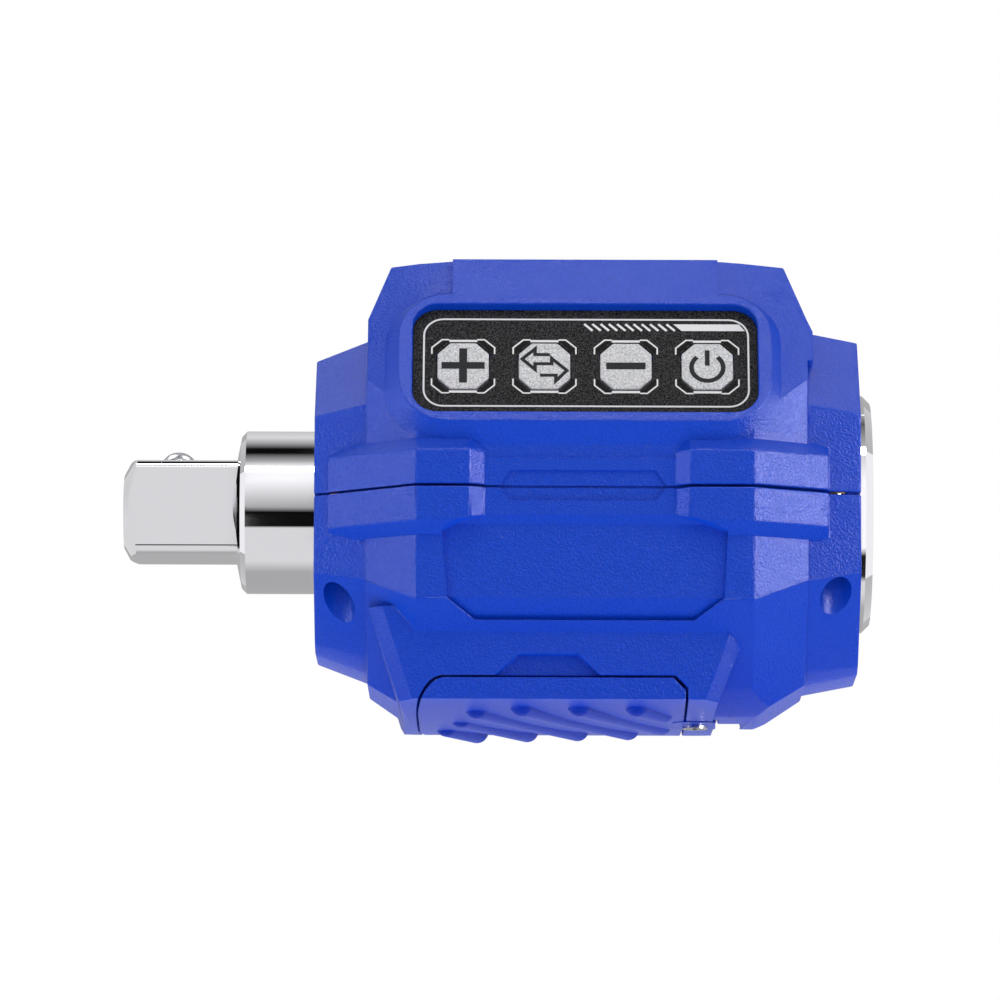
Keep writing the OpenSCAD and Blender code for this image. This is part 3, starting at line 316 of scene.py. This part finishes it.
finish = {
    "blue_plastic": spark_eroded_abs(),
    # Bright nickel and chrome plating on ground steel: a near mirror
    "chrome": smooth_metal("polished_chrome", "#EDEDF1", 0.03),
    "plated_steel": zinc_plated_steel(),
    # Drawn stainless wire: darker and duller than plated steel
    "spring_steel": smooth_metal("drawn_spring_wire", "#A2A3A8", 0.28),
    # Brass as it comes from the lathe: yellow and half dull
    "brass": smooth_metal("turned_brass", "#B98F45", 0.45),
    "dark_membrane": textured_polyester_film(),
    "grey_key": speckled_key_plastic(),
    "circuit_board": fibreglass_board(),
    # Epoxy moulded round chips and switches: near black, half dull
    "black_component": plain_plastic("moulded_epoxy_black", "#1B1B1C", 0.45),
    "window": tinted_acrylic(),
    # Glass over the liquid crystal: smooth, grey with a little green
    "display": plain_plastic("display_glass", "#8F9C8C", 0.15, 1.52),
    # Polyimide film: amber and glossy
    "amber_film": plain_plastic("polyimide_film", "#B5651D", 0.25, 1.7),
    # Sleeve shrunk round a cell: smooth and grey
    "cell_jacket": plain_plastic("shrink_sleeve", "#6F7780", 0.3),
    # Moulded nitrile: near black and dull
    "seal_rubber": plain_plastic("nitrile_rubber", "#232324", 0.6),
    # Machined acetal: ivory, a little waxy
    "ivory_plastic": plain_plastic("acetal", "#E0DCCB", 0.35),
}

# Screen ink dries opaque and dull. The near black ink is painted shadow: it stands for the shade at
# the edge of each key's opening in the film
white_ink = plain_plastic("white_screen_ink", "#E6E6E7", 0.6, gloss=0.1)
charcoal_ink = plain_plastic("charcoal_screen_ink", "#2B2C30", 0.6, gloss=0.06)
painted_shadow_ink = plain_plastic("painted_key_edge_shadow", "#121213", 0.6, gloss=0.06)
# Unlit segments of the liquid crystal: a shade darker than the glass
segment_film = plain_plastic("display_segments", "#6F7B6D", 0.25)


# ---------------------------------------------------------------- soft edges on the solids

def make_object(name, form, material):
    """A mesh object of this form, in one material."""
    mesh = bpy.data.meshes.new(name)
    form.to_mesh(mesh)
    form.free()
    mesh.materials.append(material)
    obj = bpy.data.objects.new(name, mesh)
    bpy.context.scene.collection.objects.link(obj)
    return obj


def add_piece(name, form, body, material):
    """A finished piece that rides on its body."""
    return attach(make_object(name, form, material), body)


def strip_width(side, other):
    """How far apart two sides of a face lie, where they face each other."""
    ends = [side.vert.co, side.link_loop_next.vert.co]
    far_ends = [other.vert.co, other.link_loop_next.vert.co]
    if (ends[1] - ends[0]).dot(far_ends[1] - far_ends[0]) >= 0:
        return math.inf
    gaps = []
    for point, (start, end) in [(p, far_ends) for p in ends] + [(p, ends) for p in far_ends]:
        share = min(max(intersect_point_line(point, start, end)[1], 0), 1)
        gaps.append((point - start.lerp(end, share)).length)
    return min(gaps)


def corner_room(face, edge, corner, rounded):
    """How far over the face a rounding of this edge may reach, before it passes its neighbour at
    the corner."""
    neighbour = next(other for other in corner.link_edges if other in face.edges and other != edge)
    here = edge.other_vert(corner).co - corner.co
    there = neighbour.other_vert(corner).co - corner.co
    turn = here.angle(there, math.pi)
    if neighbour in rounded:
        return min(here.length, there.length) * math.tan(min(turn, BLUNTEST) / 2)
    return there.length * math.sin(turn)


def edges_with_room(form, radius):
    """Those of the hard edges that can all be rounded with this radius at once."""
    rounded = {edge for edge in form.edges if not edge.smooth}
    # In the mesh's own order, so that each run rounds the same edges
    for face in form.faces:
        for side, other in combinations(face.loops, 2):
            pair = {side.edge, other.edge}
            if not pair & rounded or set(side.edge.verts) & set(other.edge.verts):
                continue
            width = strip_width(side, other)
            if width < ONE_SIDE * radius:
                rounded -= pair
            elif width < BOTH_SIDES * radius and pair <= rounded:
                rounded.remove(min(side.edge, other.edge, key=lambda edge: edge.calc_length()))
    while True:
        cramped = {edge for edge in rounded if radius > CORNER_SHARE * min(
            corner_room(face, edge, corner, rounded)
            for face in edge.link_faces for corner in edge.verts)}
        if not cramped:
            return rounded
        rounded -= cramped


def soften(node, rounding=0):
    """A copy of a solid with its hard edges rounded, shown in the solid's place.

    An edge stays sharp where the faces beside it are too narrow for it or end in too fine a point.
    Without a rounding, only the solid's curved faces are shaded smooth."""
    form = bmesh.new()
    form.from_mesh(frame["nodes"][node].data)
    bmesh.ops.remove_doubles(form, verts=form.verts, dist=WELD)
    bmesh.ops.dissolve_limit(form, angle_limit=FLAT, verts=form.verts, edges=form.edges)
    bmesh.ops.dissolve_degenerate(form, dist=WELD, edges=form.edges)
    for face in form.faces:
        face.smooth = True
    for edge in form.edges:
        edge.smooth = edge.calc_face_angle(0) < HARD_EDGE
    if rounding:
        weights = form.edges.layers.float.new("bevel_weight_edge")
        for edge in edges_with_room(form, rounding):
            edge[weights] = 1.0
    slot = node_slot[node]
    obj = add_piece(node + "_finished", form, node_body[node], finish[slot])
    if rounding:
        bevel = obj.modifiers.new("soft edges", "BEVEL")
        bevel.width = rounding
        bevel.segments = ROUNDING_STEPS
        bevel.limit_method = "WEIGHT"
        bevel.use_clamp_overlap = False
        bevel.harden_normals = True
    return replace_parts(obj, node)


for node, obj in frame["nodes"].items():
    obj.data.materials.clear()
    obj.data.materials.append(finish[node_slot[node]])

for shell in ("upper_housing", "lower_housing", "battery_door"):
    soften(shell, SHELL_ROUNDING)
for key in KEY_X:
    soften(key, KEY_ROUNDING)
for round_part in ("torque_shaft", "detent_ball", "door_screw", "housing_screws", "battery_cell_1",
                   "battery_cell_2", "front_bush"):
    soften(round_part)

# The spring shortens as the ball is pressed in
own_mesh(soften("detent_spring"))


# ---------------------------------------------------------------- printing

def lay_patch(form, outline, level):
    """A flat printed patch with this outline, as thick as the ink."""
    face = form.faces.new([form.verts.new((x, v, level)) for x, v in outline])
    face.normal_update()
    if face.normal.z < 0:
        face.normal_flip()
    raised = bmesh.ops.extrude_face_region(form, geom=[face])["geom"]
    bmesh.ops.translate(form, vec=(0, 0, INK),
                        verts=[g for g in raised if isinstance(g, bmesh.types.BMVert)])


def lay_bar(form, x_ends, v_ends, level):
    """A printed rectangle."""
    lay_patch(form, [(x_ends[0], v_ends[0]), (x_ends[1], v_ends[0]),
                     (x_ends[1], v_ends[1]), (x_ends[0], v_ends[1])], level)


def lay_line(form, points, width, level, closed=False):
    """A printed line of this width along the points, mitred at its corners."""
    path = [Vector(point) for point in points]
    count = len(path)
    left, right = [], []
    for i, here in enumerate(path):
        before = path[i - 1] if i or closed else None
        after = path[(i + 1) % count] if i < count - 1 or closed else None
        into = (here - before).normalized() if before is not None else (after - here).normalized()
        out = (after - here).normalized() if after is not None else into
        side = Vector((-(into.y + out.y), into.x + out.x)).normalized()
        reach = width / 2 / max(SHARPEST_MITRE, side.dot(Vector((-into.y, into.x))))
        left.append(here + side * reach)
        right.append(here - side * reach)
    for i in range(count if closed else count - 1):
        j = (i + 1) % count
        lay_patch(form, [right[i], right[j], left[j], left[i]], level)


def rounded_frame(x_ends, v_ends, radius):
    """Points round a rounded rectangle, from its right end on."""
    x0, x1 = x_ends[0] + radius, x_ends[1] - radius
    v0, v1 = v_ends[0] + radius, v_ends[1] - radius
    points = []
    for quarter, (x, v) in enumerate(((x1, v1), (x0, v1), (x0, v0), (x1, v0))):
        for step in range(FRAME_STEPS + 1):
            turn = math.pi / 2 * (quarter + step / FRAME_STEPS)
            points.append((x + radius * math.cos(turn), v + radius * math.sin(turn)))
    return points


def round_key(key_x, outline, side, height):
    """An outline in one quarter round a key: side and height are 1 or -1."""
    return [(key_x + side * x, KEY_V + height * v) for x, v in outline]


def print_on_keypad(name, form, body, material):
    """The printing, carried over from the drawing plane to the slanted keypad."""
    bmesh.ops.recalc_face_normals(form, faces=form.faces)
    bmesh.ops.transform(form, matrix=keypad_place, verts=form.verts)
    add_piece(name, form, body, material)


keypad_place = Matrix.Translation(KEYPAD_ORIGIN) @ Matrix((
    (1, 0, 0, 0),
    (0, math.sin(KEYPAD_LEAN), -math.cos(KEYPAD_LEAN), 0),
    (0, math.cos(KEYPAD_LEAN), math.sin(KEYPAD_LEAN), 0),
    (0, 0, 0, 1))) @ Matrix.Scale(MM, 4)

lines = bmesh.new()
lay_line(lines, rounded_frame(FRAME_X, FRAME_V, FRAME_RADIUS), FRAME_LINE, FILM_LEVEL, closed=True)
for i in range(HATCH_COUNT):
    x = HATCH_X[0] + i * (HATCH_X[1] - HATCH_X[0]) / HATCH_COUNT
    lay_line(lines, [(x, HATCH_V[1]), (x + HATCH_LEAN, HATCH_V[0])], HATCH_LINE, FILM_LEVEL)
lay_patch(lines, [(BAR_FOOT_X[0], HATCH_V[0]), (BAR_FOOT_X[1], HATCH_V[0]),
                  (BAR_TOP_X[1], HATCH_V[1]), (BAR_TOP_X[0], HATCH_V[1])], FILM_LEVEL)

# Painted shadow: near black patches in the corners round each key, where the edge of the key's
# opening throws shade
key_shadow_patches = bmesh.new()
for key_x in KEY_X.values():
    for height in (-1, 1):
        for side in (-1, 1):
            lay_line(lines, round_key(key_x, CORNER_LINE, side, height), CORNER_LINE_WIDTH,
                     FILM_LEVEL)
            lay_patch(key_shadow_patches, round_key(key_x, CORNER_SHADOW_PATCH, side, height), FILM_LEVEL)
        lay_line(lines, round_key(key_x, SIDE_LINE, 1, height), SIDE_LINE_WIDTH, FILM_LEVEL)
print_on_keypad("keypad_lines", lines, "housing", white_ink)
print_on_keypad("keypad_painted_key_shadows", key_shadow_patches, "housing", painted_shadow_ink)

symbols = {key: bmesh.new() for key in KEY_X}
lay_bar(symbols["key_plus"], (-PLUS_REACH[0], PLUS_REACH[0]), (-ARM, ARM), KEY_LEVEL)
lay_bar(symbols["key_plus"], (-ARM, ARM), (ARM, PLUS_REACH[1]), KEY_LEVEL)
lay_bar(symbols["key_plus"], (-ARM, ARM), (-PLUS_REACH[1], -ARM), KEY_LEVEL)
lay_line(symbols["key_swap"], SWAP_PATH, SWAP_LINE, KEY_LEVEL)
lay_bar(symbols["key_minus"], (-MINUS_REACH, MINUS_REACH), (-ARM, ARM), KEY_LEVEL)
turns = [math.radians(angle) for angle in range(POWER_GAP, 361 - POWER_GAP, 10)]
lay_line(symbols["key_power"], [(POWER_RADIUS * math.sin(turn),
                                 POWER_RADIUS * math.cos(turn) - POWER_DROP) for turn in turns],
         POWER_LINE, KEY_LEVEL)
lay_bar(symbols["key_power"], (-POWER_LINE / 2, POWER_LINE / 2), POWER_STEM_V, KEY_LEVEL)
for key, symbol in symbols.items():
    bmesh.ops.translate(symbol, vec=(KEY_X[key], KEY_V, 0), verts=symbol.verts)
    print_on_keypad(key + "_symbol", symbol, key, charcoal_ink)


def lay_segment(form, start, end):
    """One unlit segment of a digit: a bar with pointed ends."""
    along = (end - start).normalized()
    side = Vector((-along.y, along.x)) * SEGMENT_WIDTH / 2
    inset = along * SEGMENT_WIDTH / 2
    start, end = start + along * SEGMENT_GAP, end - along * SEGMENT_GAP
    lay_patch(form, [start, start + inset - side, end - inset - side, end, end - inset + side,
                     start + inset + side], 0)


digits = bmesh.new()
for i in range(DIGIT_COUNT):
    digit_x = DIGIT_MIDDLE_X + (i - (DIGIT_COUNT - 1) / 2) * DIGIT_PITCH
    for ends in SEGMENTS:
        lay_segment(digits, *(Vector((digit_x + x * DIGIT_HALF[0], y * DIGIT_HALF[1]))
                              for x, y in ends))
bmesh.ops.recalc_face_normals(digits, faces=digits.faces)
bmesh.ops.scale(digits, vec=(MM, MM, MM), verts=digits.verts)
bmesh.ops.translate(digits, vec=(0, 0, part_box("lcd_module")[1].z), verts=digits.verts)
add_piece("display_digits", digits, "housing", segment_film)


# ---------------------------------------------------------------- studio

def facing(place, direction):
    """The place and turn of something at this place whose Z axis points this way."""
    return Matrix.Translation(place) @ direction.to_track_quat("Z", "Y").to_matrix().to_4x4()


def only_mirrored(name, form, material):
    """Part of the studio that is seen in polished surfaces alone."""
    obj = make_object(name, form, material)
    obj.visible_camera = obj.visible_diffuse = obj.visible_shadow = False
    obj.visible_transmission = False


def soft_box(name, azimuth, elevation, distance, size, strength):
    """A bright card that faces the object: azimuth 0 is in front of it, 90 to its right."""
    az, el = math.radians(azimuth), math.radians(elevation)
    away = Vector((math.sin(az) * math.cos(el), -math.cos(az) * math.cos(el), math.sin(el)))
    form = bmesh.new()
    bmesh.ops.create_grid(form, x_segments=1, y_segments=1, size=0.5)
    bmesh.ops.scale(form, vec=(size[0], size[1], 1), verts=form.verts)
    bmesh.ops.transform(form, matrix=facing(MIDDLE + away * distance, -away), verts=form.verts)
    material, tree = new_material(name + "_paper")
    glow = add_node(tree, "ShaderNodeEmission", {"Color": linear("#FFFFFF"), "Strength": strength})
    add_node(tree, "ShaderNodeOutputMaterial", {"Surface": glow.outputs["Emission"]})
    only_mirrored(name, form, material)


def paper_ring(name, reaches, tones):
    """Rings of paper round the drive axis, each from one x to another.

    Their tone changes with the angle in degrees: 0 is in front of the object, 90 above it."""
    form = bmesh.new()
    for start, end in reaches:
        ring = bmesh.ops.create_cone(form, cap_ends=False, segments=RING_SIDES, depth=end - start,
                                     radius1=RING_RADIUS, radius2=RING_RADIUS)["verts"]
        bmesh.ops.rotate(form, cent=(0, 0, 0), matrix=Matrix.Rotation(math.pi / 2, 3, "Y"),
                         verts=ring)
        bmesh.ops.translate(form, vec=((start + end) / 2, 0, 0), verts=ring)
    bmesh.ops.reverse_faces(form, faces=form.faces)
    material, tree = new_material(name + "_paper")
    place = add_node(tree, "ShaderNodeTexCoord").outputs["Object"]
    parts = add_node(tree, "ShaderNodeSeparateXYZ", {"Vector": place}).outputs
    front = add_node(tree, "ShaderNodeMath", {0: parts["Y"], 1: -1.0}, operation="MULTIPLY")
    angle = add_node(tree, "ShaderNodeMath", {0: parts["Z"], 1: front.outputs["Value"]},
                     operation="ARCTAN2")
    share = add_node(tree, "ShaderNodeMapRange", {
        "Value": angle.outputs["Value"], "From Min": -math.pi, "From Max": math.pi})
    tone = add_node(tree, "ShaderNodeValToRGB", {"Fac": share.outputs["Result"]},
                    stops=[((degrees + 180) / 360, colour) for degrees, colour in tones])
    glow = add_node(tree, "ShaderNodeEmission", {
        "Color": tone.outputs["Color"], "Strength": RING_GLOW})
    add_node(tree, "ShaderNodeOutputMaterial", {"Surface": glow.outputs["Emission"]})
    only_mirrored(name, form, material)


def soft_light(name, offset, size, power):
    """A rectangular white lamp that faces the object and isn't mirrored in it."""
    lamp = bpy.data.lights.new(name, "AREA")
    lamp.shape = "RECTANGLE"
    lamp.size, lamp.size_y = size
    lamp.energy = power
    obj = bpy.data.objects.new(name, lamp)
    obj.matrix_world = facing(MIDDLE + Vector(offset), Vector(offset))
    obj.visible_glossy = False
    bpy.context.scene.collection.objects.link(obj)


# The floor lies at the level of the door's ribs. The camera looks from under it, so its underside
# is clear, and it is clear for mirrored light and for the lamp below
floor = bmesh.new()
bmesh.ops.create_grid(floor, x_segments=1, y_segments=1, size=FLOOR_SIZE)
bmesh.ops.translate(floor, verts=floor.verts,
                    vec=(MIDDLE.x, 0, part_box("battery_door")[0].z - FLOOR_CLEARANCE))
floor_paint, tree = new_material("pale_matt_floor")
rays = add_node(tree, "ShaderNodeLightPath").outputs
underside = add_node(tree, "ShaderNodeNewGeometry").outputs["Backfacing"]
clear = add_node(tree, "ShaderNodeMath", {0: underside, 1: rays["Is Glossy Ray"]},
                 operation="MAXIMUM")
clear = add_node(tree, "ShaderNodeMath", {0: clear.outputs["Value"], 1: rays["Is Shadow Ray"]},
                 operation="MAXIMUM")
paint = add_node(tree, "ShaderNodeBsdfDiffuse", {"Color": linear("#F4F4F4")})
air = add_node(tree, "ShaderNodeBsdfTransparent")
mixed = add_node(tree, "ShaderNodeMixShader", {
    0: clear.outputs["Value"], 1: paint.outputs["BSDF"], 2: air.outputs["BSDF"]})
add_node(tree, "ShaderNodeOutputMaterial", {"Surface": mixed.outputs["Shader"]})
make_object("floor", floor, floor_paint)

# Graded paper for the plating to mirror, in one narrow ring each for the square, the collar and the
# flange, which the camera sees mirrored side by side. Darker paper between them keeps the front of
# the housing deep, and soft boxes light its corner faces
paper_ring("square_ring", [(-0.052, -0.019)], [
    (-180, GREY), (-110, GREY), (-70, PALE), (-15, PALE), (-8, BLACK), (-2, BLACK), (2, PALE),
    (15, PALE), (20, WHITE), (35, WHITE), (45, BLACK), (90, BLACK), (130, PALE), (180, GREY)])
paper_ring("collar_ring", [(-0.019, 0.003)], [
    (-180, GREY), (-100, GREY), (-80, PALE), (-29, PALE), (-27, BLACK), (-7, BLACK), (0, GREY),
    (20, PALE), (40, WHITE), (60, WHITE), (70, GREY), (85, BLACK), (95, BLACK), (110, GREY),
    (125, PALE), (180, GREY)])
paper_ring("flange_ring", [(0.134, 0.147)], [
    (-180, GREY), (-110, GREY), (-90, PALE), (-76, PALE), (-70, BLACK), (-48, BLACK), (-40, WHITE),
    (25, WHITE), (50, PALE), (65, GREY), (90, DARK), (105, GREY), (180, GREY)])
paper_ring("housing_ring", [(-0.4, -0.052), (0.003, 0.134), (0.147, 0.5)], [
    (-180, GREY), (-110, PALE), (-70, PALE), (-45, DARK), (-20, BLACK), (20, BLACK), (60, DARK),
    (100, GREY), (180, GREY)])
paper_ring("outer_ring", [(-1.5, -0.4), (0.5, 1.5)], [
    (-180, PALE), (-120, GREY), (-105, DARK), (-90, DARK), (-78, GREY), (-60, PALE), (-15, PALE),
    (-6, DARK), (6, DARK), (15, PALE), (45, PALE), (60, DARK), (85, DARK), (100, GREY),
    (180, PALE)])
soft_box("box_above", 0, 56, 0.8, (0.5, 0.12), 23.0)
soft_box("box_right", 60, 9, 0.7, (0.18, 0.4), 42.0)
soft_box("box_left", -72, 9, 0.7, (0.18, 0.4), 11.0)
soft_box("box_behind_right", 120, 65, 0.7, (0.24, 0.3), 4.2)
soft_box("box_behind_left", -124, 59, 0.7, (0.3, 0.3), 3.8)

soft_light("key_light", (-0.15, -0.5, 0.75), (0.9, 0.7), 1.6)
soft_light("fill_light", (0.25, -0.9, -0.1), (1.0, 0.8), 1.9)
soft_light("low_light", (0.0, -0.35, -0.7), (0.9, 0.6), 9.4)
soft_light("right_light", (0.9, -0.2, 0.25), (0.5, 0.7), 1.6)

# White where the camera, polished surfaces and the window see it, and plain soft light elsewhere
world = bpy.data.worlds.new("studio")
bpy.context.scene.world = world
world.use_nodes = True
tree = world.node_tree
tree.nodes.clear()
rays = add_node(tree, "ShaderNodeLightPath").outputs
seen = add_node(tree, "ShaderNodeMath", {0: rays["Is Camera Ray"], 1: rays["Is Glossy Ray"]},
                operation="MAXIMUM")
seen = add_node(tree, "ShaderNodeMath", {0: seen.outputs["Value"], 1: rays["Is Transmission Ray"]},
                operation="MAXIMUM")
level = add_node(tree, "ShaderNodeMapRange", {
    "Value": seen.outputs["Value"], "To Min": AMBIENT, "To Max": 1.0})
background = add_node(tree, "ShaderNodeBackground", {
    "Color": linear("#FFFFFF"), "Strength": level.outputs["Result"]})
add_node(tree, "ShaderNodeOutputWorld", {"Surface": background.outputs["Background"]})

back = Vector((math.sin(YAW) * math.cos(LIFT), -math.cos(YAW) * math.cos(LIFT), math.sin(LIFT)))
level_right = (-back).cross(Vector((0, 0, 1))).normalized()
level_up = level_right.cross(-back)
right = math.cos(ROLL) * level_right + math.sin(ROLL) * level_up
up = -math.sin(ROLL) * level_right + math.cos(ROLL) * level_up
lens = bpy.data.cameras.new("camera")
lens.lens = FOCAL_LENGTH
lens.sensor_width = SENSOR_WIDTH
lens.clip_start = NEAR_LIMIT
camera = bpy.data.objects.new("camera", lens)
camera.matrix_world = (Matrix.Translation(CAMERA_PLACE)
                       @ Matrix((right, up, back)).transposed().to_4x4())
bpy.context.scene.collection.objects.link(camera)
bpy.context.scene.camera = camera
bpy.context.scene.view_settings.view_transform = "Standard"
